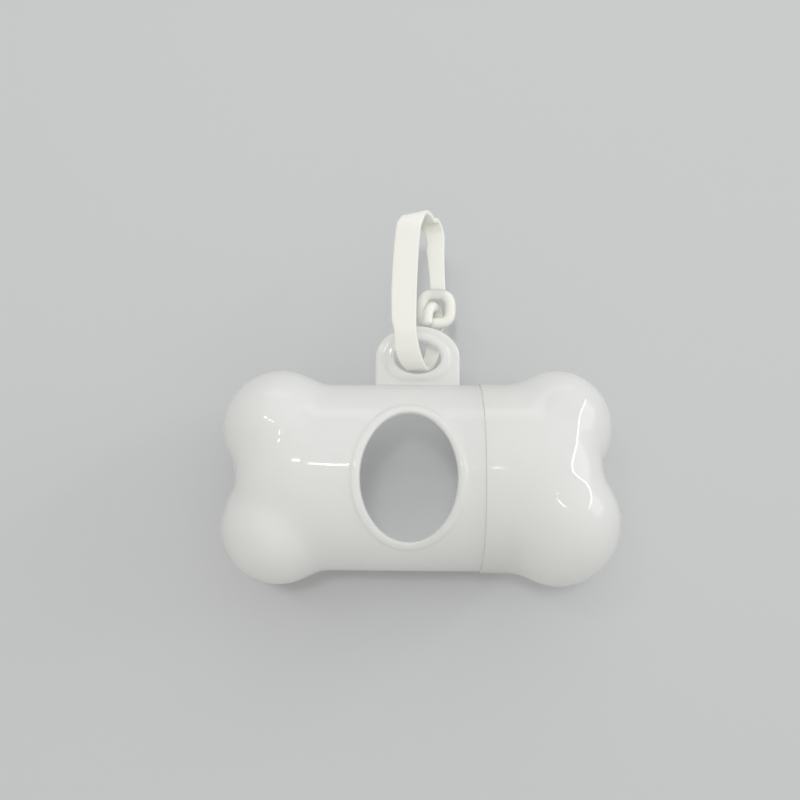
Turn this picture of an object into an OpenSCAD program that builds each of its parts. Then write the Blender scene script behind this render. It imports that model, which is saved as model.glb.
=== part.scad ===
// Bone-shaped dispenser for a roll of pet waste bags, lying on its back.
// X runs along the bone towards the cap, Y towards the hanging lug, Z out of the window.
// The origin is the centre of the eye in the lug. All lengths are millimetres.

/* [Barrel] */
// Diameter of the bore that holds the roll of bags
bore_d = 34.4; // [32:0.2:36]
// Wall of the round middle of the body
wall = 2.8; // [2.4:0.1:4]
// Distance from the middle of the bone to the seam between body and cap
seam_x = 12.95; // [11:0.1:15]
// Thickness left at the closed ends, measured along the bone
end_wall = 3.2; // [2:0.1:5]

/* [Bone ends] */
// Distance from the middle of the bone to the centres of the knobs
knob_x = 29.7; // [28:0.1:32]
// Distance of each knob's centre from the bone's axis
knob_y = 10.5; // [8:0.1:12]
// Radius of a knob along the bone
knob_len_r = 12.4; // [10:0.1:13]
// Radius of a knob across the bone
knob_r = 12.45; // [10:0.05:14]
// Half the depth of a knob, front to back
knob_depth_r = 18.2; // [16:0.1:20]
// Where the barrel starts to round off towards its end
shoulder_x = 16.7; // [16:0.1:20]
// Length over which the barrel rounds off
shoulder_len = 21.4; // [18:0.1:22]
// How full the barrel's rounded end is, where 2 is an ellipse
end_fullness = 3.2; // [2:0.1:4]
// Size of the soft valley between the two knobs
valley_blend = 10; // [6:0.5:12]
// Size of the fillet where a knob runs into the barrel
flank_blend = 3; // [2:0.5:8]

/* [Neck and cap] */
// How far the neck stands out of the body
neck_len = 8; // [5:0.5:12]
// Wall of the neck
neck_wall = 1.25; // [1:0.05:1.4]
// Height of the neck's root land and of its snap bead
land_h = 0.3; // [0.1:0.05:0.4]
// Length of the land at the root of the neck
land_len = 1.6; // [1:0.1:2.5]
// Length of the snap bead along the neck
snap_len = 1.4; // [1:0.1:2]
// Distance from the seam to the middle of the snap bead
snap_x = 6; // [4:0.1:7]
// Radial clearance between the cap's socket and the lands
socket_gap = 0.1; // [0.05:0.01:0.2]
// Depth of the groove that the snap bead sits in
groove_depth = 0.3; // [0.1:0.05:0.4]
// How far the cap's skirt stands proud of the barrel
cap_proud = 0.3; // [0:0.05:0.5]
// Open joint line between body and cap
seam_gap = 0.12; // [0.05:0.01:0.3]
// Angle by which the cap is turned out of line with the body
cap_turn = -17.5; // [-90:0.5:90]

/* [Window] */
// Centre of the window along the bone
window_x = -2; // [-4:0.1:0]
// Width of the window along the bone
window_w = 19.1; // [14:0.1:20]
// Height of the window across the bone
window_h = 25.7; // [20:0.1:28]
// Width of the raised rim round the window
rim_w = 1.75; // [1:0.05:2.5]
// Height of the raised rim above the barrel
rim_h = 0.5; // [0.2:0.05:1]

/* [Lug] */
// Centre of the lug along the bone
lug_x = -0.3; // [-2:0.1:2]
// Width of the lug plate
lug_w = 18.5; // [16:0.1:22]
// Thickness of the lug plate
lug_t = 3; // [2:0.1:4]
// Width of the eye
eye_w = 10.4; // [10:0.1:12]
// Height of the eye
eye_h = 7.3; // [7.2:0.1:8]
// Height of the bar of plastic over the eye
bar_h = 3.3; // [2.6:0.1:3.6]
// Material between the barrel and the eye
eye_sill = 2.4; // [2:0.1:4]
// Chamfer along the plate's outer edge
lug_edge = 0.8; // [0.4:0.05:0.9]
// Width of the raised pad round the eye
pad_w = 14.7; // [13:0.1:15.5]
// Height of the pad above the eye's centre
pad_up = 5.4; // [5:0.05:5.9]
// Height of the pad below the eye's centre
pad_down = 5.4; // [5:0.05:5.5]
// How far the pad stands up from each face of the plate
pad_h = 0.4; // [0.2:0.05:0.6]

/* [Strap] */
// Width of the strap's band at its widest
band_w = 5.5; // [4.5:0.1:5.6]
// Thickness of the strap's band
band_t = 1; // [0.8:0.05:1.1]
// Thickness of the hook
hook_d = 2.3; // [1.8:0.05:2.35]
// Thickness of the ring that the hook closes on
ring_d = 2.4; // [1.8:0.05:2.45]
// Outside width of the ring
ring_w = 8.75; // [8.6:0.05:9.2]
// Outside height of the ring
ring_h = 9; // [8.8:0.1:9.4]

/* [Hidden] */

plastic = "whitesmoke";
strap_plastic = "white";

bore_r = bore_d / 2;
barrel_r = bore_r + wall;
neck_r = bore_r + neck_wall;
land_r = neck_r + land_h;
socket_r = land_r + socket_gap;
cap_r = barrel_r + cap_proud;

// The hanging lug, in the bone's own frame
eye_y = barrel_r + eye_sill + eye_h / 2;
bar_y = eye_y + eye_h / 2 + bar_h / 2;
pad_t = lug_t + 2 * pad_h;

// Mesh steps of the sculpted ends
turn_steps = 48;
tip_steps = 20;
fan_x = shoulder_x - 1;
far_r = 60;
search_steps = 16;

// Small overlap for cuts that run past a face
past = 1;

// How square the pad is below the eye, where 2 is an oval
pad_squareness = 3.2;

function bent(v, power) = sign(v) * pow(abs(v), power);

// ---------- the sculpted end of the bone ----------

// Smaller of two distances, with a soft blend where they are about equal
function soft_min(a, b, k) =
    let (h = max(k - abs(a - b), 0) / k) min(a, b) - h * h * h * k / 6;

// Distance-like value that is zero on the rounded barrel
function barrel_field(p, r) =
    let (u = max(p.x - shoulder_x, 0) / shoulder_len, v = norm([p.y, p.z]) / r)
    (pow(pow(u, end_fullness) + pow(v, end_fullness), 1 / end_fullness) - 1) * r;

// The same for the knob on one side
function knob_field(p, side) =
    let (u = (p.x - knob_x) / knob_len_r,
         v = (p.y - side * knob_y) / knob_r,
         w = p.z / knob_depth_r)
    (norm([u, v, w]) - 1) * knob_r;

function bone_field(p, r) =
    soft_min(barrel_field(p, r),
             soft_min(knob_field(p, -1), knob_field(p, 1), valley_blend), flank_blend);

// Distance along a ray from the fan's centre to the skin, found by halving
function reach(dir, r, low, high, n) =
    n == 0 ? (low + high) / 2 :
    let (mid = (low + high) / 2)
    bone_field([fan_x, 0, 0] + mid * dir, r) < 0 ?
        reach(dir, r, mid, high, n - 1) : reach(dir, r, low, mid, n - 1);

function fan_point(tilt, turn, r) =
    let (dir = [cos(tilt), sin(tilt) * cos(turn), sin(tilt) * sin(turn)])
    [fan_x, 0, 0] + reach(dir, r, 2, far_r, search_steps) * dir;

function turn_angle(i) = 360 * i / turn_steps;

// Solid half bone from a flat face at start_x out to the closed tip
module half_bone(start_x, r) {
    rings = concat(
        [[for (i = [0 : turn_steps - 1]) [start_x, r * cos(turn_angle(i)), r * sin(turn_angle(i))]]],
        [for (j = [0 : tip_steps - 1])
            [for (i = [0 : turn_steps - 1]) fan_point(90 * (1 - j / tip_steps), turn_angle(i), r)]]);
    skin = [for (ring = rings) each ring];
    tip = len(skin);
    last = len(rings) - 1;
    faces = concat(
        [[for (i = [0 : turn_steps - 1]) i]],
        [for (j = [0 : last - 1], i = [0 : turn_steps - 1])
            let (a = j * turn_steps + i, b = j * turn_steps + (i + 1) % turn_steps)
            each [[a, a + turn_steps, b], [b, a + turn_steps, b + turn_steps]]],
        [for (i = [0 : turn_steps - 1])
            [last * turn_steps + i, tip, last * turn_steps + (i + 1) % turn_steps]]);
    polyhedron(concat(skin, [fan_point(0, 0, r)]), faces);
}

// Everything is drawn in the bone's own frame and then moved to the eye
module at_eye() {
    translate([-lug_x, -eye_y, 0]) children();
}

module along_x(r, from_x, to_x) {
    translate([from_x, 0, 0]) rotate([0, 90, 0]) cylinder(r = r, h = to_x - from_x, $fn = 96);
}

// Hollow for the roll: a straight bore with a domed blind end
module roll_hollow(mouth_x) {
    dome_steps = 10;
    dome_len = shoulder_len - end_wall;
    dome = [for (i = [0 : dome_steps])
        let (a = 90 * i / dome_steps)
        [bore_r * pow(cos(a), 2 / end_fullness), shoulder_x + dome_len * pow(sin(a), 2 / end_fullness)]];
    rotate([0, 90, 0]) rotate_extrude($fn = 96)
        polygon(concat([[0, mouth_x], [bore_r, mouth_x]], dome));
}

// ---------- body with neck, window and lug ----------

module neck() {
    along_x(neck_r, 0, seam_x + neck_len);
    along_x(land_r, 0, seam_x + land_len);
    translate([seam_x + snap_x, 0, 0]) rotate([0, 90, 0]) {
        cylinder(r = land_r, h = snap_len / 2, center = true, $fn = 96);
        for (side = [0, 1]) mirror([0, 0, side])
            translate([0, 0, snap_len / 4])
                cylinder(r1 = land_r, r2 = neck_r, h = snap_len / 4, $fn = 96);
    }
}

module window_oval(grow) {
    translate([window_x, 0, 0])
        scale([window_w / 2 + grow, window_h / 2 + grow, 1])
            cylinder(r = 1, h = barrel_r + rim_h + past, $fn = 96);
}

module window_rim() {
    intersection() {
        along_x(barrel_r + rim_h, window_x - window_w, window_x + window_w);
        window_oval(rim_w);
    }
}

// Outline with straight sides and an oval top, rooted in the barrel's wall
module lug_outline(inset, t) {
    arc_steps = 20;
    top_r = eye_h / 2 + bar_h - inset;
    half_w = lug_w / 2 - inset;
    arc = [for (i = [0 : arc_steps])
        let (a = 180 * i / arc_steps) [half_w * cos(a), eye_y + top_r * sin(a)]];
    root_y = (barrel_r + bore_r) / 2;
    translate([lug_x, 0, -t / 2]) linear_extrude(t)
        polygon(concat([[-half_w, root_y], [half_w, root_y]], arc));
}

module lug_plate() hull() {
    lug_outline(0, lug_t - 2 * lug_edge);
    lug_outline(lug_edge, lug_t);
}

// Raised pad round the eye: an oval above, squarer below
module lug_pad() {
    pad_steps = 60;
    translate([lug_x, eye_y, -pad_t / 2]) linear_extrude(pad_t)
        polygon([for (i = [0 : pad_steps - 1])
            let (a = 360 * i / pad_steps, upper = sin(a) >= 0, power = upper ? 1 : 2 / pad_squareness)
            [pad_w / 2 * bent(cos(a), power), (upper ? pad_up : pad_down) * bent(sin(a), power)]]);
}

module eye_oval(grow, h) {
    translate([lug_x, eye_y, -h / 2])
        scale([eye_w / 2 + grow, eye_h / 2 + grow, 1]) cylinder(r = 1, h = h, $fn = 96);
}

module body_shell() color(plastic) at_eye() difference() {
    union() {
        mirror([1, 0, 0]) half_bone(-seam_x, barrel_r);
        neck();
        window_rim();
        lug_plate();
        lug_pad();
    }
    mirror([1, 0, 0]) roll_hollow(-seam_x - neck_len - past);
    window_oval(0);
    eye_oval(0, pad_t + 2 * past);
}

// ---------- end cap ----------

module cap_socket() {
    root_x = seam_x + seam_gap;
    floor_x = seam_x + neck_len + seam_gap;
    groove_half = snap_len / 2 + socket_gap;
    along_x(socket_r, root_x - past, floor_x);
    along_x(socket_r + groove_depth, seam_x + snap_x - groove_half, seam_x + snap_x + groove_half);
}

module end_cap() color(plastic) at_eye() difference() {
    rotate([cap_turn, 0, 0]) half_bone(seam_x + seam_gap, cap_r);
    cap_socket();
    roll_hollow(seam_x);
}

// ---------- strap: one moulding of band, ring and hook ----------

// The band's left edge, right edge and thickness along its run, measured from the middle of the bar
// over the eye: from the ring up behind, over the crest, down in front, under the bar, up to the hook
strap_route = [
    [[2.75, 9.6, -2.9], [6.25, 9.6, -2.9], 2.0],
    [[2.7, 11.3, -2.9], [6.2, 11.3, -2.9], 1.3],
    [[2.2, 17, -2.9], [6, 17, -2.9], band_t],
    [[2, 21, -2.9], [6, 21.1, -2.9], band_t],
    [[1, 24.2, -2.7], [5.9, 23.6, -2.6], band_t],
    [[-0.45, 25.5, -1.6], [5.1, 25.4, -1.5], band_t],
    [[-1.8, 26, 0.4], [3.95, 25.3, 0.15], band_t],
    [[-3.1, 25.7, 2.5], [2.25, 26.7, 2.4], band_t],
    [[-4.45, 24, 4.5], [1, 24.2, 4.5], band_t],
    [[-5.2, 19.3, 5.2], [0.22, 19.3, 5.2], band_t],
    [[-5.75, 8.9, 5.2], [-0.25, 8.9, 5.2], band_t],
    [[-5.25, 1.9, 5.3], [-0.35, 1.9, 5.3], band_t],
    [[-5, -0.6, 5.15], [-0.25, -0.6, 5.15], band_t],
    [[-5, -2.9, 4.6], [0.2, -2.9, 4.6], band_t],
    [[-4.65, -4.75, 3.9], [0.7, -4.75, 3.9], band_t],
    [[-3.8, -6.5, 2.7], [1.35, -6.5, 2.7], band_t],
    [[-2.9, -7.5, 1.4], [2, -7.5, 1.4], band_t],
    [[-2.15, -7.8, 0], [2.65, -7.8, 0], band_t],
    [[-1.2, -7.4, -1.5], [3.3, -7.3, -1.5], band_t],
    [[0, -6.8, -2.8], [4, -6.2, -2.8], band_t],
    [[1.3, -5.2, -3.9], [4.7, -4.5, -3.8], band_t],
    [[1.85, -3.2, -4.6], [5, -2.7, -4.5], band_t],
    [[2.2, -0.9, -5.1], [4.85, -0.5, -5.1], band_t],
    [[2.9, 1.4, -5.5], [5.55, 1.5, -5.4], 1.2],
    [[3.3, 2.5, -5.7], [6.1, 2.5, -5.6], 1.8],
    [[3.55, 3.8, -5.75], [5.9, 3.8, -5.7], hook_d],
    [[3.1, 6.35, -4.7], [5.35, 6.6, -4.6], hook_d],
    [[2.35, 6.7, -3], [4.65, 6.7, -2.9], hook_d],
    [[1.75, 6.15, -1.3], [4, 6, -1.3], hook_d],
    [[1.15, 4.7, -0.45], [3.4, 4.6, -0.45], hook_d],
    [[1, 2.75, -0.2], [3.3, 2.75, -0.2], hook_d]];
drawn_band_w = 5.5;
route_steps = 3;

// Middle of the ring, measured like the route
ring_at = [4.18, 6.3, -2.9];
ring_stations = 24;
ring_squareness = 2.9;

function curve(a, b, c, d, t) =
    0.5 * (2 * b + t * (c - a) + t * t * (2 * a - 5 * b + 4 * c - d) + t * t * t * (3 * b - a - 3 * c + d));

function smooth_route(p, steps) = concat(
    [for (i = [0 : len(p) - 2], s = [0 : steps - 1])
        let (a = p[max(i - 1, 0)], b = p[i], c = p[i + 1], d = p[min(i + 2, len(p) - 1)])
        [for (k = [0 : 2]) curve(a[k], b[k], c[k], d[k], s / steps)]], [p[len(p) - 1]]);

function middle(q) = (q[0] + q[1]) / 2;
function unit(v) = v / norm(v);

// Corners of the band's section at one station, with cut corners
function band_ring(here, way) =
    let (across = unit(here[1] - here[0]),
         up = unit(cross(across, way)),
         w = norm(here[1] - here[0]) / 2 * band_w / drawn_band_w, t = here[2] / 2, c = 0.55 * t)
    [for (s = [[w, t - c], [w - c, t], [c - w, t], [-w, t - c],
               [-w, c - t], [c - w, -t], [w - c, -t], [w, c - t]])
        middle(here) + s[0] * across + s[1] * up];

function quads(rows, sides, loop) =
    [for (j = [0 : rows - (loop ? 1 : 2)], i = [0 : sides - 1])
        let (k = (j + 1) % rows, n = (i + 1) % sides)
        each [[j * sides + i, j * sides + n, k * sides + i], [j * sides + n, k * sides + n, k * sides + i]]];

module band_and_hook() {
    route = smooth_route(strap_route, route_steps);
    rows = len(route);
    rings = [for (j = [0 : rows - 1])
        band_ring(route[j], unit(middle(route[min(j + 1, rows - 1)]) - middle(route[max(j - 1, 0)])))];
    sides = len(rings[0]);
    polyhedron([for (ring = rings) each ring],
        concat([[for (i = [0 : sides - 1]) sides - 1 - i]], quads(rows, sides, false),
               [[for (i = [0 : sides - 1]) (rows - 1) * sides + i]]));
}

// Rounded-square ring of round wire
module ring() {
    sides = 10;
    half_w = (ring_w - ring_d) / 2;
    half_h = (ring_h - ring_d) / 2;
    centres = [for (j = [0 : ring_stations - 1])
        let (a = 360 * (j + 0.5) / ring_stations)
        ring_at + [half_w * bent(cos(a), 2 / ring_squareness), half_h * bent(sin(a), 2 / ring_squareness), 0]];
    skin = [for (j = [0 : ring_stations - 1])
        let (way = unit(centres[(j + 1) % ring_stations] - centres[(j + ring_stations - 1) % ring_stations]),
             out = [way.y, -way.x, 0])
        for (i = [0 : sides - 1])
            let (b = 360 * i / sides)
            centres[j] + ring_d / 2 * (cos(b) * out + [0, 0, sin(b)])];
    polyhedron(skin, quads(ring_stations, sides, true));
}

module strap_clip() color(strap_plastic) at_eye() translate([lug_x, bar_y, 0]) {
    band_and_hook();
    ring();
}

body_shell();
end_cap();
strap_clip();
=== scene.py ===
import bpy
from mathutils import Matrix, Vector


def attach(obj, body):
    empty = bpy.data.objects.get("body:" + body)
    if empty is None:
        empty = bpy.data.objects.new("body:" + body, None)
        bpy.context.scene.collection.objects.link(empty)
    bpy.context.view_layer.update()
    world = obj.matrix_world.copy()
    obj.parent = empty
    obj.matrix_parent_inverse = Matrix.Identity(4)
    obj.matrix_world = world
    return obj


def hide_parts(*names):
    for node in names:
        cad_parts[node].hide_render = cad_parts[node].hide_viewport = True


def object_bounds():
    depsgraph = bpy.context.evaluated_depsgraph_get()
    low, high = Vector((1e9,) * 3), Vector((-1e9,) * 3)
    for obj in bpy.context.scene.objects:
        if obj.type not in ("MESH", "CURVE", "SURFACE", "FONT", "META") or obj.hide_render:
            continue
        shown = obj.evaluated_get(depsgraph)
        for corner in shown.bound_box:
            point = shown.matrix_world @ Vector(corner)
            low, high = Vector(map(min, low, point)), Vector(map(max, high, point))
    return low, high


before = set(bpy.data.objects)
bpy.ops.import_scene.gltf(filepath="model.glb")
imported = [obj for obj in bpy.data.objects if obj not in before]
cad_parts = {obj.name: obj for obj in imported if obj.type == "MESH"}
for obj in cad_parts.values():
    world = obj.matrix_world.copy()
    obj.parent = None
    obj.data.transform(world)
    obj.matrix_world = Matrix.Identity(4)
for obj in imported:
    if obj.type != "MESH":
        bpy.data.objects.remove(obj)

cad_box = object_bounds()

import math

import bmesh
import bpy
import numpy as np
from mathutils import Matrix, Vector

MM = 0.001

# Sizes in millimetres, in the bone's own frame: X along the bone towards the cap, Y towards the lug,
# Z out of the window. The row frame's origin is the centre of the lug's eye.
BARREL_R = 20.0
BORE_R = 17.2
SEAM_X = 12.95
SEAM_GAP = 0.04
CAP_PROUD = 0.3
CAP_TURN = math.radians(-17.5)
END_WALL = 3.2

KNOB_X, KNOB_Y = 29.7, 10.5
KNOB_LEN_R, KNOB_R, KNOB_DEPTH_R = 12.4, 12.45, 18.2
SHOULDER_X, SHOULDER_LEN = 16.7, 21.4
END_FULLNESS = 3.2
VALLEY_BLEND, FLANK_BLEND = 10.0, 3.0
FAN_X = SHOULDER_X - 1

NECK_LEN, NECK_R = 8.0, 18.45
LAND_R, LAND_LEN = 18.75, 1.6
SNAP_X, SNAP_LEN = 6.0, 1.4
SOCKET_R, GROOVE_R = 18.85, 19.15

WINDOW_X, WINDOW_W, WINDOW_H = -2.0, 19.1, 25.7
RIM_W, RIM_H = 1.75, 0.5
OUTER_CUT, INNER_CUT = RIM_W + 0.4, 0.35  # how far outside the window's oval each skin is cut

LUG_X, LUG_W, LUG_T = -0.3, 18.5, 3.0
EYE_Y, EYE_W, EYE_H = 26.05, 10.4, 7.3
BAR_H, BAR_Y, LUG_EDGE = 3.3, 31.35, 0.8
PAD_W, PAD_UP, PAD_DOWN, PAD_SQUARENESS, COLLAR_H = 14.7, 5.45, 5.4, 3.2, 0.55
ROOT_REACH, ROOT_FILLET = 0.5, 0.2

BAND_T, BAND_CORNER, WIRE_D = 1.0, 0.32, 2.3
BAND_END_BULGE, HOOK_END_BULGE = 0.5, 0.7
RING_W, RING_H, RING_WIRE, RING_SQUARENESS = 8.75, 9.0, 2.4, 2.9

# How finely the skins are drawn: columns round each form, rows along it, and the rows' step in millimetres
COLUMNS = 192
FAN_ROWS = 64
DOME_ROWS = 32
ROW_STEP = 0.66
LUG_COLUMNS = 160
RING_ROWS, RING_COLUMNS = 96, 24
STRAP_SIDES, STRAP_STEPS, STRAP_END_ROWS = 32, 8, 6

# The block of the barrel's grid that is bent to the window, in rows and columns from its middle, and how
# many times as far out the bending has died away
WINDOW_HALF_ROWS, WINDOW_HALF_COLUMNS = 15, 22
WARP_REACH = 1.38


# ---------------------------------------------------------------- modelling helpers

def row_frame(points):
    """Millimetres in the bone's frame to metres in the row frame."""
    p = np.asarray(points, float)
    return (p - np.array([LUG_X, EYE_Y, 0.0])) * MM


def nothing_selected():
    """Object mode with everything deselected, so that the next operator starts clean."""
    if bpy.context.object and bpy.context.object.mode != "OBJECT":
        bpy.ops.object.mode_set(mode="OBJECT")
    bpy.ops.object.select_all(action="DESELECT")


def only(obj):
    nothing_selected()
    obj.select_set(True)
    bpy.context.view_layer.objects.active = obj


def rolled_skin(name, rings, mats, second_from=None):
    """A grid rolled into a skin: rings[row, column] in the bone's frame, the last column beside the first.
    Faces from the row second_from on take the second material."""
    rows, columns = rings.shape[:2]
    nothing_selected()
    bpy.ops.mesh.primitive_grid_add(x_subdivisions=rows - 1, y_subdivisions=columns, size=1)
    obj = bpy.context.object
    obj.name = obj.data.name = name
    flat = np.zeros(len(obj.data.vertices) * 3)
    obj.data.vertices.foreach_get("co", flat)
    flat = flat.reshape(-1, 3)
    row = np.rint((flat[:, 0] + 0.5) * (rows - 1)).astype(int)
    column = np.rint((flat[:, 1] + 0.5) * columns).astype(int) % columns
    for mat in mats:
        obj.data.materials.append(mat)
    if second_from is not None:
        corners = np.zeros(len(obj.data.loops), int)
        obj.data.loops.foreach_get("vertex_index", corners)
        inner = (row[corners].reshape(-1, 4).min(axis=1) >= second_from).astype(int)
        obj.data.polygons.foreach_set("material_index", inner)
    obj.data.vertices.foreach_set("co", row_frame(rings[row, column]).ravel())
    obj.data.update()
    only(obj)
    bpy.ops.object.mode_set(mode="EDIT")
    bpy.ops.mesh.select_all(action="SELECT")
    bpy.ops.mesh.remove_doubles(threshold=1e-6)
    bpy.ops.mesh.normals_make_consistent(inside=False)
    bpy.ops.object.mode_set(mode="OBJECT")
    return obj


def smooth(obj, degrees):
    """Shades an object smooth, except over edges sharper than degrees."""
    only(obj)
    bpy.ops.object.shade_smooth_by_angle(angle=math.radians(degrees), keep_sharp_edges=True)


def joined(parts, name):
    """Parts of one moulding as one object."""
    only(parts[0])
    for part in parts[1:]:
        part.select_set(True)
    bpy.ops.object.join()
    parts[0].name = parts[0].data.name = name
    return parts[0]


# ---------------------------------------------------------------- finishes

def node(tree, kind, x, y, **values):
    n = tree.nodes.new(kind)
    n.location = (x, y)
    for key, value in values.items():
        if key in n.inputs:
            n.inputs[key].default_value = value
        else:
            setattr(n, key, value)
    return n


def moulding_marks():
    """Soft unevenness of a moulded plastic face: a slow cloud, a fine cloud and a height."""
    fine_share = 0.06
    group = bpy.data.node_groups.new("moulding_marks", "ShaderNodeTree")
    for name, value in (("Cloud Scale", 60.0), ("Fine Scale", 900.0)):
        socket = group.interface.new_socket(name, in_out="INPUT", socket_type="NodeSocketFloat")
        socket.default_value = value
    for name in ("Cloud", "Fine", "Height"):
        group.interface.new_socket(name, in_out="OUTPUT", socket_type="NodeSocketFloat")
    inp, out = node(group, "NodeGroupInput", -600, 0), node(group, "NodeGroupOutput", 400, 0)
    place = node(group, "ShaderNodeTexCoord", -600, -200)
    link = group.links.new
    clouds = []
    for y, socket in ((200, "Cloud Scale"), (-100, "Fine Scale")):
        noise = node(group, "ShaderNodeTexNoise", -350, y, Detail=3.0, Roughness=0.55)
        link(place.outputs["Object"], noise.inputs["Vector"])
        link(inp.outputs[socket], noise.inputs["Scale"])
        clouds.append(noise.outputs["Fac"])
    both = node(group, "ShaderNodeMath", 0, -100, operation="MULTIPLY_ADD")
    link(clouds[1], both.inputs[0])
    both.inputs[1].default_value = fine_share
    link(clouds[0], both.inputs[2])
    link(clouds[0], out.inputs["Cloud"])
    link(clouds[1], out.inputs["Fine"])
    link(both.outputs[0], out.inputs["Height"])
    return group


def plastic(name, marks, light, dark, rough, spread, bump, scales, subsurface=0.0, through=0.0):
    """White moulded plastic: two tints that the cloud mixes, a roughness that the fine cloud spreads, and
    the depth of its marks; through is the share of the light that comes out behind a thin wall."""
    mat = bpy.data.materials.new(name)
    mat.use_nodes = True
    tree = mat.node_tree
    tree.nodes.clear()
    out = node(tree, "ShaderNodeOutputMaterial", 800, 0)
    shader = node(tree, "ShaderNodeBsdfPrincipled", 300, 0)
    shader.inputs["IOR"].default_value = 1.49
    shader.inputs["Subsurface Weight"].default_value = subsurface
    shader.inputs["Subsurface Radius"].default_value = (1.0, 0.95, 0.9)
    shader.inputs["Subsurface Scale"].default_value = 0.0015
    group = node(tree, "ShaderNodeGroup", -600, 0)
    group.node_tree = marks
    group.inputs["Cloud Scale"].default_value = scales[0]
    group.inputs["Fine Scale"].default_value = scales[1]
    tint = node(tree, "ShaderNodeMix", -200, 200, data_type="RGBA")
    tint.inputs[6].default_value = (*light, 1)
    tint.inputs[7].default_value = (*dark, 1)
    polish = node(tree, "ShaderNodeMapRange", -200, -50)
    polish.inputs["To Min"].default_value = rough - spread
    polish.inputs["To Max"].default_value = rough + spread
    relief = node(tree, "ShaderNodeBump", 0, -250)
    relief.inputs["Strength"].default_value = bump
    relief.inputs["Distance"].default_value = 0.0004
    link = tree.links.new
    link(group.outputs["Cloud"], tint.inputs["Factor"])
    link(tint.outputs[2], shader.inputs["Base Color"])
    link(group.outputs["Fine"], polish.inputs["Value"])
    link(polish.outputs["Result"], shader.inputs["Roughness"])
    link(group.outputs["Height"], relief.inputs["Height"])
    link(relief.outputs["Normal"], shader.inputs["Normal"])
    face = shader.outputs[0]
    if through:
        # The mix weakens the shine by the same share, so the shader's own is raised to make up for it
        shader.inputs["Specular IOR Level"].default_value = 0.5 / (1 - through)
        thin = node(tree, "ShaderNodeBsdfTranslucent", 300, 250)
        both = node(tree, "ShaderNodeMixShader", 600, 100)
        both.inputs[0].default_value = through
        link(tint.outputs[2], thin.inputs["Color"])
        link(face, both.inputs[1])
        link(thin.outputs[0], both.inputs[2])
        face = both.outputs[0]
    link(face, out.inputs["Surface"])
    return mat


marks = moulding_marks()
shell_gloss = plastic("shell_gloss", marks, light=(0.975, 0.975, 0.962), dark=(0.955, 0.957, 0.94),
                      rough=0.06, spread=0.015, bump=0.02, scales=(60.0, 700.0), through=0.45)
# The inside faces take a lighter, bluer copy of the same plastic: painted light, standing in for the light
# that comes through the thin wall and fills the hollow
inner_skin_painted_light = plastic("inner_skin_painted_light", marks, light=(0.975, 0.982, 0.992), dark=(0.965, 0.972, 0.985),
                       rough=0.3, spread=0.03, bump=0.02, scales=(60.0, 700.0), through=0.5)
strap_satin = plastic("strap_satin", marks, light=(0.87, 0.87, 0.815), dark=(0.84, 0.842, 0.79),
                      rough=0.34, spread=0.05, bump=0.12, scales=(140.0, 1400.0), subsurface=0.4)


# ---------------------------------------------------------------- the bone's form

def soft_min(a, b, size):
    """The smaller of two fields, with a fillet of about size where they meet."""
    h = np.maximum(size - np.abs(a - b), 0) / size
    return np.minimum(a, b) - h ** 3 * size / 6


def barrel_field(p, r):
    """Signed distance, more or less, to the barrel with its rounded end."""
    u = np.maximum(p[..., 0] - SHOULDER_X, 0) / SHOULDER_LEN
    v = np.hypot(p[..., 1], p[..., 2]) / r
    return ((u ** END_FULLNESS + v ** END_FULLNESS) ** (1 / END_FULLNESS) - 1) * r


def knob_field(p, side):
    """The same for the knob on the side -1 or 1."""
    u = (p[..., 0] - KNOB_X) / KNOB_LEN_R
    v = (p[..., 1] - side * KNOB_Y) / KNOB_R
    w = p[..., 2] / KNOB_DEPTH_R
    return (np.sqrt(u * u + v * v + w * w) - 1) * KNOB_R


def bone_field(p, r):
    knobs = soft_min(knob_field(p, -1), knob_field(p, 1), VALLEY_BLEND)
    return soft_min(barrel_field(p, r), knobs, FLANK_BLEND)


def turns():
    """The angle of each column about the bone's axis, from Y."""
    return np.linspace(0, 2 * math.pi, COLUMNS, endpoint=False)


def fan_ring(tilt, r):
    """Where rays from the fan's centre, tilted away from the tip, leave the bone."""
    t = turns()
    way = np.stack([np.full(COLUMNS, math.cos(tilt)),
                    math.sin(tilt) * np.cos(t), math.sin(tilt) * np.sin(t)], -1)
    near, far = np.full(COLUMNS, 2.0), np.full(COLUMNS, 60.0)
    for _ in range(40):
        mid = (near + far) / 2
        inside = bone_field(way * mid[:, None] + [FAN_X, 0, 0], r) < 0
        near, far = np.where(inside, mid, near), np.where(inside, far, mid)
    return way * far[:, None] + [FAN_X, 0, 0]


def round_ring(x, r):
    t = turns()
    return np.stack([np.full(COLUMNS, x), r * np.cos(t), r * np.sin(t)], -1)


def knobbed_end(r):
    """Rings from the tip between the knobs down to the plain barrel."""
    tilts = np.linspace(0, math.pi / 2, FAN_ROWS + 1)
    return [fan_ring(t, r) for t in tilts]


def domed_hollow():
    """Rings from the bore's end to the pole of its dome."""
    angles = np.linspace(0, math.pi / 2, DOME_ROWS + 1)
    length = SHOULDER_LEN - END_WALL
    power = 2 / END_FULLNESS
    return [round_ring(SHOULDER_X + length * math.sin(a) ** power, BORE_R * max(math.cos(a), 0) ** power)
            for a in angles]


# ---------------------------------------------------------------- body shell

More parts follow.
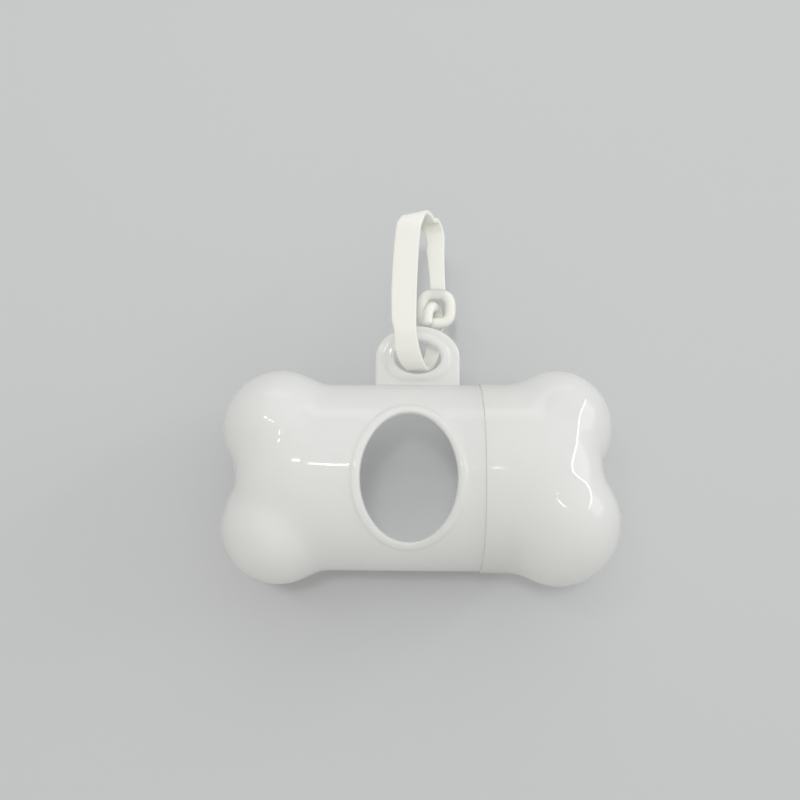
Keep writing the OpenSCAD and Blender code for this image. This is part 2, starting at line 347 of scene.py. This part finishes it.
def warp_to_window(rings, xs, r, spread):
    """Slides the rings' points over the barrel, so that a block of the grid ends on the window's oval."""
    half_x = WINDOW_HALF_ROWS * ROW_STEP
    half_turn = 2 * math.pi * WINDOW_HALF_COLUMNS / COLUMNS
    for i, x in enumerate(xs):
        a = (x - WINDOW_X) / half_x
        for j, t in enumerate(turns()):
            b = (math.pi / 2 - t) / half_turn
            m = max(abs(a), abs(b))
            if m >= WARP_REACH or m < 1e-6:
                continue
            if abs(a) >= abs(b):
                phi = (b / a) * math.pi / 4 + (0 if a > 0 else math.pi)
            else:
                phi = math.pi / 2 * (1 if b > 0 else -1) - (a / b) * math.pi / 4
            oval_x = (WINDOW_W / 2 + spread) * math.cos(phi)
            oval_turn = math.asin((WINDOW_H / 2 + spread) * math.sin(phi) / r)
            keep = min(max((m - 1) / (WARP_REACH - 1), 0), 1)
            keep = keep * keep * (3 - 2 * keep)
            dx = m * oval_x * (1 - keep) + a * half_x * keep
            turn = m * oval_turn * (1 - keep) + b * half_turn * keep
            rings[i][j] = [WINDOW_X + dx, r * math.sin(turn), r * math.cos(turn)]


def from_axis(co):
    """How far a mesh point is from the bone's axis, in millimetres."""
    return math.hypot(co.y / MM + EYE_Y, co.z / MM)


def on_window(co, spread):
    """A mesh point in half axes of the oval that stands off the window's by spread."""
    return ((co.x / MM + LUG_X - WINDOW_X) / (WINDOW_W / 2 + spread),
            (co.y / MM + EYE_Y) / (WINDOW_H / 2 + spread))


# The window's edge from the rim's foot over the rim and down the wall: how far outside the oval, and how
# high over the barrel
RIM_SECTION = [
    (RIM_W + 0.16, 0.03), (RIM_W + 0.02, 0.12), (RIM_W - 0.06, 0.25), (RIM_W - 0.2, 0.38),
    (RIM_W - 0.45, RIM_H - 0.025), (RIM_W - 0.8, RIM_H), (RIM_W - 1.15, RIM_H - 0.025), (RIM_W - 1.42, 0.4),
    (RIM_W - 1.6, 0.27), (RIM_W - 1.7, 0.1), (0, -0.15), (0, -0.6), (0, -1.2), (0, -1.8), (0, -2.3),
    (0.05, -2.5), (0.15, -2.68)]


def open_window(obj):
    """Cuts the window out of both skins and draws the raised rim from the outer edge to the inner one."""
    def inside(face, r, spread):
        middle = face.calc_center_median()
        x, y = on_window(middle, spread)
        return middle.z > 0 and x * x + y * y < 0.999 and abs(from_axis(middle) - r) < 0.6

    only(obj)
    bpy.ops.object.mode_set(mode="EDIT")
    bpy.ops.mesh.select_mode(type="FACE")
    bpy.ops.mesh.select_all(action="DESELECT")
    bm = bmesh.from_edit_mesh(obj.data)
    for f in bm.faces:
        f.select_set(inside(f, BARREL_R, OUTER_CUT) or inside(f, BORE_R, INNER_CUT))
    bmesh.update_edit_mesh(obj.data)
    bpy.ops.mesh.delete(type="FACE")
    bpy.ops.mesh.select_mode(type="EDGE")
    bpy.ops.mesh.select_all(action="DESELECT")
    bm = bmesh.from_edit_mesh(obj.data)
    for e in bm.edges:
        if e.is_boundary:
            e.select_set(from_axis((e.verts[0].co + e.verts[1].co) / 2) > (BARREL_R + BORE_R) / 2)
    bmesh.update_edit_mesh(obj.data)
    spread = OUTER_CUT
    for step, height in RIM_SECTION:
        bpy.ops.mesh.extrude_edges_move()
        bm = bmesh.from_edit_mesh(obj.data)
        for v in bm.verts:
            if v.select:
                x, y = on_window(v.co, spread)
                phi = math.atan2(y, x)
                x = WINDOW_X + (WINDOW_W / 2 + step) * math.cos(phi)
                y = (WINDOW_H / 2 + step) * math.sin(phi)
                z = math.sqrt((BARREL_R + height) ** 2 - y * y)
                v.co = Vector(row_frame([x, y, z]))
        bmesh.update_edit_mesh(obj.data)
        spread = step
    bm = bmesh.from_edit_mesh(obj.data)
    for e in bm.edges:
        if e.is_boundary:
            e.select_set(True)
    bmesh.update_edit_mesh(obj.data)
    bpy.ops.mesh.bridge_edge_loops()
    bpy.ops.mesh.select_all(action="SELECT")
    bpy.ops.mesh.normals_make_consistent(inside=False)
    bpy.ops.object.mode_set(mode="OBJECT")


def make_body_shell():
    """The left end, the barrel, the neck, and back through the bore to the dome over the left end."""
    end = [ring * [-1, 1, 1] for ring in knobbed_end(BARREL_R)]
    first = math.ceil((-FAN_X + 0.2 - WINDOW_X) / ROW_STEP)
    last = math.floor((SEAM_X - 0.4 - WINDOW_X) / ROW_STEP)
    xs = [WINDOW_X + i * ROW_STEP for i in range(first, last + 1)]
    barrel = [round_ring(x, BARREL_R) for x in xs]
    warp_to_window(barrel, xs, BARREL_R, OUTER_CUT)
    neck_end = SEAM_X + NECK_LEN
    snap = SEAM_X + SNAP_X
    turned = [(SEAM_X - 0.12, BARREL_R), (SEAM_X - 0.05, BARREL_R - 0.015),
              (SEAM_X - 0.015, BARREL_R - 0.05), (SEAM_X, BARREL_R - 0.12),
              (SEAM_X, LAND_R + 0.3), (SEAM_X + 0.03, LAND_R + 0.12),
              (SEAM_X + 0.12, LAND_R + 0.03), (SEAM_X + 0.3, LAND_R), (SEAM_X + LAND_LEN - 0.15, LAND_R),
              (SEAM_X + LAND_LEN, LAND_R - 0.05), (SEAM_X + LAND_LEN + 0.3, NECK_R),
              (snap - SNAP_LEN / 2 - 0.1, NECK_R), (snap - SNAP_LEN / 2 + 0.1, NECK_R + 0.06),
              (snap - 0.3, LAND_R - 0.03), (snap, LAND_R), (snap + 0.3, LAND_R - 0.03),
              (snap + SNAP_LEN / 2 - 0.1, NECK_R + 0.06), (snap + SNAP_LEN / 2 + 0.1, NECK_R),
              (neck_end - 0.4, NECK_R), (neck_end - 0.15, NECK_R - 0.08), (neck_end - 0.03, NECK_R - 0.25),
              (neck_end, NECK_R - 0.45), (neck_end, BORE_R + 0.35), (neck_end - 0.08, BORE_R + 0.12),
              (neck_end - 0.25, BORE_R + 0.02), (neck_end - 0.5, BORE_R)]
    neck = [round_ring(x, r) for x, r in turned]
    bore_far = [round_ring(x, BORE_R) for x in np.arange(neck_end - 1.2, SEAM_X - 0.2, -0.8)]
    bore = [round_ring(x, BORE_R) for x in xs]
    warp_to_window(bore, xs, BORE_R, INNER_CUT)
    dome = [ring * [-1, 1, 1] for ring in domed_hollow()]
    rings = end + barrel + neck + bore_far + bore[::-1] + dome
    shell = rolled_skin("body_moulding", np.array(rings), (shell_gloss, inner_skin_painted_light),
                        len(end + barrel + neck))
    open_window(shell)
    smooth(shell, 32)
    return shell


def turned_about_x(points, angle):
    p = np.asarray(points, float)
    c, s = math.cos(angle), math.sin(angle)
    return np.stack([p[..., 0], p[..., 1] * c - p[..., 2] * s, p[..., 1] * s + p[..., 2] * c], -1)


def make_end_cap():
    """The right end, its rim, and back through the socket, over its floor and into the dome."""
    r = BARREL_R + CAP_PROUD
    mouth = SEAM_X + SEAM_GAP
    floor = SEAM_X + NECK_LEN + SEAM_GAP
    snap = SEAM_X + SNAP_X
    half = SNAP_LEN / 2 + 0.1
    turned = [(FAN_X - 1.2, r), (mouth + 0.4, r), (mouth + 0.16, r - 0.02), (mouth + 0.05, r - 0.07),
              (mouth, r - 0.18), (mouth, SOCKET_R + 0.3), (mouth + 0.06, SOCKET_R + 0.1),
              (mouth + 0.25, SOCKET_R), (snap - half, SOCKET_R), (snap - 0.35, GROOVE_R),
              (snap + 0.35, GROOVE_R), (snap + half, SOCKET_R), (floor - 0.2, SOCKET_R),
              (floor - 0.05, SOCKET_R - 0.06), (floor, SOCKET_R - 0.2)]
    hollow = domed_hollow()
    deep = [ring for ring in hollow if ring[0, 0] > floor + 0.25]
    step_r = float(np.hypot(deep[0][0, 1], deep[0][0, 2]))
    turned += [(floor, step_r + 0.2), (floor + 0.06, step_r + 0.06)]
    rings = knobbed_end(r) + [round_ring(x, q) for x, q in turned] + deep
    cap = rolled_skin("cap_moulding", turned_about_x(np.array(rings), CAP_TURN), (shell_gloss, inner_skin_painted_light),
                      len(rings) - len(deep))
    smooth(cap, 32)
    return cap


# ---------------------------------------------------------------- lug

def make_lug():
    """The hanging plate: a section from the eye's wall out to the plate's edge, carried round the eye."""
    phi = np.linspace(0, 2 * math.pi, LUG_COLUMNS, endpoint=False)
    c, s = np.cos(phi), np.sin(phi)
    root = EYE_Y - (BARREL_R + BORE_R) / 2
    upper = np.stack([LUG_W / 2 * c, (EYE_H / 2 + BAR_H) * s], -1)
    scale = 1 / np.maximum(np.abs(c) / (LUG_W / 2), np.abs(s) / root)
    lower = np.stack([c * scale, s * scale], -1)
    edge = np.where((s >= 0)[:, None], upper, lower)
    hub = np.stack([c, s], -1)
    eye = np.stack([EYE_W / 2 * c, EYE_H / 2 * s], -1)
    rim = LUG_T / 2
    top = rim + COLLAR_H
    power = np.where(s >= 0, 1.0, 2 / PAD_SQUARENESS)
    pad = np.stack([np.sign(c) * np.abs(c) ** power * PAD_W / 2,
                    np.sign(s) * np.abs(s) ** power * np.where(s >= 0, PAD_UP, PAD_DOWN)], -1)
    # The domed collar: the share of the way from the eye to the pad's edge, and the height
    foot = 1.08
    collar = [(0, 0.0), (0, top - 0.75), (0.03, top - 0.45), (0.09, top - 0.2), (0.18, top - 0.05),
              (0.3, top), (0.45, top - 0.02), (0.58, top - 0.07), (0.69, top - 0.15), (0.78, top - 0.26),
              (0.86, top - 0.39), (0.92, rim + 0.07), (0.98, rim + 0.02), (foot, rim)]
    section = [(eye + (pad - eye) * share, z) for share, z in collar]
    start = eye + (pad - eye) * foot
    for share in np.linspace(0.12, 0.88, 8):
        section.append((start + (edge - hub * LUG_EDGE - start) * share, rim))
    for a in np.linspace(0, math.pi / 2, 8):
        section.append((edge - hub * LUG_EDGE * (1 - math.sin(a)), rim - LUG_EDGE * (1 - math.cos(a))))
    section.append((edge, 0))
    rings = []
    for flat, z in section + [(f, -z) for f, z in section[-2:0:-1]]:
        y = EYE_Y + flat[:, 1]
        fillet = np.clip(1 - (y - BARREL_R) / ROOT_REACH, 0, 1) ** 2 * ROOT_FILLET
        rings.append(np.stack([LUG_X + flat[:, 0], y, z + np.sign(z) * fillet], -1))
    rings = np.array(rings + [rings[0]])
    # It only shows the first finish, but has the same two slots as the shell that it is joined to
    lug = rolled_skin("lug_plate", rings, (shell_gloss, inner_skin_painted_light))
    smooth(lug, 32)
    return lug


# ---------------------------------------------------------------- strap

# The band's left and right edge at each place along its run, from the bar's centre, and its thickness. It
# starts in the ring, goes up behind, over the crest, down in front, round under the bar and up to the hook.
BAND_ROUTE = [
    ((2.75, 9.6, -2.9), (6.25, 9.6, -2.9), 2.0), ((2.7, 11.3, -2.9), (6.2, 11.3, -2.9), 1.3),
    ((2.5, 14.1, -2.9), (6.1, 14.1, -2.9), BAND_T), ((2.2, 17.0, -2.9), (6.0, 17.0, -2.9), BAND_T),
    ((1.92, 19.4, -2.9), (5.98, 19.4, -2.9), BAND_T), ((2.0, 21.0, -2.9), (6.0, 21.1, -2.9), BAND_T),
    ((1.7, 22.7, -2.8), (6.0, 22.5, -2.8), BAND_T), ((1.0, 24.2, -2.7), (5.9, 23.6, -2.6), BAND_T),
    ((0.2, 25.0, -2.3), (5.6, 24.6, -2.2), BAND_T), ((-0.45, 25.5, -1.6), (5.1, 25.65, -1.5), BAND_T),
    ((-1.2, 25.8, -0.6), (4.55, 26.05, -0.7), BAND_T), ((-1.8, 26.0, 0.4), (3.95, 25.7, 0.15), BAND_T),
    ((-2.45, 25.95, 1.4), (3.15, 26.55, 1.3), BAND_T), ((-3.1, 25.7, 2.5), (2.3, 26.9, 2.4), BAND_T),
    ((-3.8, 25.1, 3.6), (1.6, 26.05, 3.6), BAND_T), ((-4.45, 24.0, 4.5), (1.0, 24.2, 4.5), BAND_T),
    ((-4.8, 23.0, 5.0), (0.55, 22.6, 5.0), BAND_T), ((-5.2, 19.3, 5.2), (0.22, 19.3, 5.2), BAND_T),
    ((-5.56, 13.9, 5.2), (-0.06, 13.9, 5.2), BAND_T), ((-5.75, 8.9, 5.2), (-0.25, 8.9, 5.2), BAND_T),
    ((-5.72, 4.5, 5.3), (-0.32, 4.5, 5.3), BAND_T), ((-5.66, 2.4, 5.3), (-0.34, 2.4, 5.3), BAND_T),
    ((-5.35, 0.9, 5.25), (-0.32, 0.9, 5.25), BAND_T), ((-5.05, -0.7, 5.15), (-0.22, -0.7, 5.15), BAND_T),
    ((-5.0, -2.9, 4.6), (0.2, -2.9, 4.6), BAND_T), ((-4.65, -4.75, 3.9), (0.7, -4.75, 3.9), BAND_T),
    ((-3.8, -6.5, 2.7), (1.35, -6.5, 2.7), BAND_T), ((-2.9, -7.5, 1.4), (2.0, -7.5, 1.4), BAND_T),
    ((-2.15, -7.8, 0), (2.65, -7.8, 0), BAND_T), ((-1.2, -7.4, -1.5), (3.3, -7.3, -1.5), BAND_T),
    ((0, -6.8, -2.8), (4.0, -6.2, -2.8), BAND_T), ((1.3, -5.2, -3.9), (4.7, -4.5, -3.8), BAND_T),
    ((1.85, -3.2, -4.6), (5.0, -2.7, -4.5), BAND_T), ((2.2, -0.9, -5.1), (4.85, -0.5, -5.1), BAND_T),
    ((2.9, 1.4, -5.5), (5.55, 1.5, -5.4), 1.2), ((3.3, 2.5, -5.7), (6.1, 2.5, -5.6), 1.8),
    ((3.55, 3.8, -5.75), (5.9, 3.8, -5.7), WIRE_D), ((3.35, 5.3, -5.5), (5.65, 5.4, -5.4), WIRE_D),
    ((3.1, 6.35, -4.7), (5.35, 6.6, -4.6), WIRE_D), ((2.35, 6.7, -3.0), (4.65, 6.7, -2.9), WIRE_D),
    ((1.75, 6.15, -1.3), (4.0, 6.0, -1.3), WIRE_D), ((1.15, 4.7, -0.45), (3.4, 4.6, -0.45), WIRE_D),
    ((1.0, 2.75, -0.2), (3.3, 2.75, -0.2), WIRE_D)]
RING_AT = (4.18, 6.3, -2.9)


def smooth_route(route, steps):
    """A Catmull-Rom run through the route's points."""
    p = np.array([route[0]] + list(route) + [route[-1]], float)
    out = []
    for i in range(1, len(p) - 2):
        for k in range(steps):
            t = k / steps
            out.append(0.5 * (2 * p[i] + (p[i + 1] - p[i - 1]) * t
                              + (2 * p[i - 1] - 5 * p[i] + 4 * p[i + 1] - p[i + 2]) * t ** 2
                              + (3 * p[i] - p[i - 1] - 3 * p[i + 1] + p[i + 2]) * t ** 3))
    out.append(p[-2])
    return np.array(out)


def rounded_section(width, thick, corner):
    """Points round a rectangle with rounded corners, evenly by angle of the corner arcs."""
    most = 0.999 / 2
    corner = min(corner, width * most, thick * most)
    points = []
    per = STRAP_SIDES // 4
    for q, (sx, sy) in enumerate([(1, 1), (-1, 1), (-1, -1), (1, -1)]):
        for k in range(per):
            a = (q + k / (per - 1)) * math.pi / 2
            points.append((sx * (width / 2 - corner) + corner * math.cos(a),
                           sy * (thick / 2 - corner) + corner * math.sin(a)))
    return np.array(points)


def make_band():
    """The flat band, the hook's round wire and the domed ends, as one loft along the route."""
    run = smooth_route([left + right + (thick,) for left, right, thick in BAND_ROUTE], STRAP_STEPS)
    bar = np.array([LUG_X, BAR_Y, 0])
    left, right, thick = run[:, :3] + bar, run[:, 3:6] + bar, run[:, 6]
    centre, width = (left + right) / 2, np.linalg.norm(right - left, axis=1)
    way = np.gradient(centre, axis=0)
    way /= np.linalg.norm(way, axis=1)[:, None]

    def station(i, scale, push):
        """The band's section at place i, flat where it is wide and round where it is as thick as wide."""
        across = (right[i] - left[i]) / width[i]
        up = np.cross(across, way[i])
        up /= np.linalg.norm(up)
        roundness = np.clip((thick[i] / width[i] - 0.35) / 0.5, 0, 1)
        corner = (BAND_CORNER * (1 - roundness) + thick[i] / 2 * roundness) * scale
        flat = rounded_section(width[i] * scale, thick[i] * scale, corner)
        return centre[i] + way[i] * push + flat[:, :1] * across + flat[:, 1:] * up

    tilts = np.linspace(0, math.pi / 2, STRAP_END_ROWS + 1)[1:]
    dome = [(max(math.cos(a), 1e-4), math.sin(a)) for a in tilts]
    rings = [station(0, scale, -BAND_END_BULGE * out) for scale, out in dome[::-1]]
    rings += [station(i, 1, 0) for i in range(len(run))]
    rings += [station(-1, scale, HOOK_END_BULGE * out) for scale, out in dome]
    band = rolled_skin("strap_band", np.array(rings), (strap_satin,))
    smooth(band, 40)
    return band


def make_ring():
    """The ring that the hook goes through: a squarish oval of round wire."""
    stations = np.linspace(0, 2 * math.pi, RING_ROWS, endpoint=False)
    turn = np.linspace(0, 2 * math.pi, RING_COLUMNS, endpoint=False)
    power = 2 / RING_SQUARENESS
    middle = np.array([LUG_X, BAR_Y, 0]) + RING_AT

    def centre(a):
        c, s = math.cos(a), math.sin(a)
        return middle + [(RING_W - RING_WIRE) / 2 * math.copysign(abs(c) ** power, c),
                         (RING_H - RING_WIRE) / 2 * math.copysign(abs(s) ** power, s), 0]

    rings = []
    for a in stations:
        way = centre(a + 0.01) - centre(a - 0.01)
        way /= np.linalg.norm(way)
        out = np.cross(way, [0, 0, 1])
        round_wire = np.cos(turn)[:, None] * out + np.sin(turn)[:, None] * [0, 0, 1]
        rings.append(centre(a) + RING_WIRE / 2 * round_wire)
    rings.append(rings[0])
    ring = rolled_skin("strap_ring", np.array(rings), (strap_satin,))
    smooth(ring, 60)
    return ring


# ---------------------------------------------------------------- putting the pieces in the frame

body = joined([make_body_shell(), make_lug()], "body_moulding")
cap = make_end_cap()
strap = joined([make_band(), make_ring()], "strap_moulding")

for piece, rides, stands_for, slot in (
        (body, "body", "body_shell", "shell_plastic"),
        (cap, "cap", "end_cap", "shell_plastic"),
        (strap, "strap", "strap_clip", "strap_plastic")):
    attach(piece, rides)
    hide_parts(stands_for)


# ---------------------------------------------------------------- floor, light and camera, in metres

PART_MIDDLE = (0.0, -0.02, 0.0)
FLOOR_DROP = 0.00002  # keeps the floor just clear of the lowest face


def make_floor():
    nothing_selected()
    bpy.ops.mesh.primitive_plane_add(size=3.0, location=(0, 0, cad_box[0][2] - FLOOR_DROP))
    floor = bpy.context.object
    floor.name = "studio_floor"
    mat = bpy.data.materials.new("pale_paper")
    mat.use_nodes = True
    shader = mat.node_tree.nodes["Principled BSDF"]
    shader.inputs["Base Color"].default_value = (0.60, 0.61, 0.62, 1)
    shader.inputs["Roughness"].default_value = 0.85
    floor.data.materials.append(mat)


def far_lamp(name, place, wide, high, radiance, turn=0.0, tint=(1, 1, 1), mirrored=True):
    """A lamp that faces the part, turned by so many degrees about its own beam. Its power comes from how
    bright its face is, which is what the shiny faces mirror."""
    nothing_selected()
    bpy.ops.object.light_add(type="AREA", location=place)
    obj = bpy.context.object
    obj.name = name
    obj.data.shape = "RECTANGLE"
    obj.data.size = wide
    obj.data.size_y = high
    obj.data.energy = radiance * math.pi * wide * high
    obj.data.color = tint
    way = Vector(PART_MIDDLE) - Vector(place)
    obj.rotation_euler = way.to_track_quat("-Z", "Y").to_euler()
    obj.rotation_euler.rotate_axis("Z", math.radians(turn))
    obj.visible_glossy = mirrored


def light_all_round():
    """A dim warm room that lights the part, with a plain grey where the camera looks past the floor."""
    world = bpy.context.scene.world or bpy.data.worlds.new("studio")
    bpy.context.scene.world = world
    world.use_nodes = True
    sky = world.node_tree
    around = sky.nodes["Background"]
    around.inputs["Color"].default_value = (1.0, 0.985, 0.95, 1)
    around.inputs["Strength"].default_value = 0.58
    behind = node(sky, "ShaderNodeBackground", 0, -200, Color=(0.62, 0.63, 0.64, 1))
    seen = node(sky, "ShaderNodeLightPath", -200, 300)
    either = node(sky, "ShaderNodeMixShader", 300, 0)
    sky.links.new(seen.outputs["Is Camera Ray"], either.inputs[0])
    sky.links.new(around.outputs[0], either.inputs[1])
    sky.links.new(behind.outputs[0], either.inputs[2])
    sky.links.new(either.outputs[0], sky.nodes["World Output"].inputs["Surface"])


def place_camera():
    """Almost straight above the part: the bone's turn as the lens sees it, in degrees, and how far the
    bone's middle lies across, up and away from the lens, in millimetres."""
    roll, pitch, yaw = (math.radians(a) for a in (-5.293, -0.860, -0.322))
    across, along, away = 3.978, -16.697, 174.009
    tilt = (Matrix.Rotation(yaw, 3, "Z") @ Matrix.Rotation(pitch, 3, "Y") @ Matrix.Rotation(roll, 3, "X"))
    eye = tilt.transposed() @ Vector((-across, -along, away))
    bpy.ops.object.camera_add()
    cam = bpy.context.object
    cam.name = "studio_camera"
    cam.matrix_world = Matrix.Translation(Vector(row_frame(eye))) @ tilt.transposed().to_4x4()
    cam.data.sensor_width = 36
    cam.data.lens = 36.045
    cam.data.clip_start = 0.01
    bpy.context.scene.camera = cam


make_floor()
far_lamp("key_softbox", (0.35, 0.9, 1.2), 1.6, 1.6, 0.5, tint=(0.9, 0.96, 1.0), mirrored=False)
far_lamp("ceiling_glow", (-0.03, 0.07, 0.6), 0.05, 0.05, 75.0, mirrored=False)
far_lamp("ceiling_tube_left", (-0.086, 0.123, 0.6), 0.1, 0.015, 26.0, turn=-47)
far_lamp("ceiling_spot_left", (-0.223, 0.184, 0.6), 0.06, 0.03, 26.0, turn=-47)
far_lamp("ceiling_spot_right", (0.075, 0.089, 0.6), 0.009, 0.009, 45.0)
far_lamp("right_window", (1.0, 0.26, 0.31), 0.6, 0.57, 1.8, turn=25, tint=(0.93, 0.97, 1.0))
far_lamp("right_strip", (1.0, 0.48, 0.52), 0.02, 0.76, 22.0, turn=25)
far_lamp("far_wall_strip", (0.05, 1.2, 0.16), 1.0, 0.3, 0.8)
light_all_round()
nothing_selected()
place_camera()
bpy.context.scene.view_settings.view_transform = "Standard"
